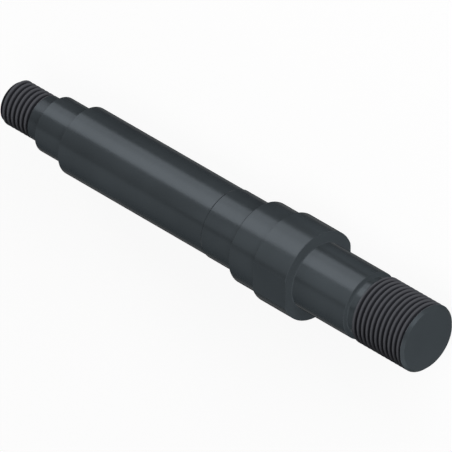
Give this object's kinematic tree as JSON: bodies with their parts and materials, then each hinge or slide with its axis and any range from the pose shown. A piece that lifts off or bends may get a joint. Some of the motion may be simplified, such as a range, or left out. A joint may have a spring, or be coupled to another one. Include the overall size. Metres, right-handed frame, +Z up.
{
  "type": "mulcher axle",
  "caption": "Stepped steel axle with threaded ends, bearing seats either side of a plain body, a shoulder, a wrench collar with flats and a journal ending in a thread undercut.",
  "frame": {"origin": "on the centre line, in the plane of the shoulder face that the large bearing seats against", "axes": "+X along the centre line towards the large thread, +Z up out of the top wrench flat; the shaft lies on the bottom one"},
  "size_m": [0.1895, 0.032, 0.03],
  "materials": {
    "blackened_steel": "satin dark steel, finely turned"
  },
  "bodies": {
    "root": {"axle": "blackened_steel"}
  },
  "joints": []
}
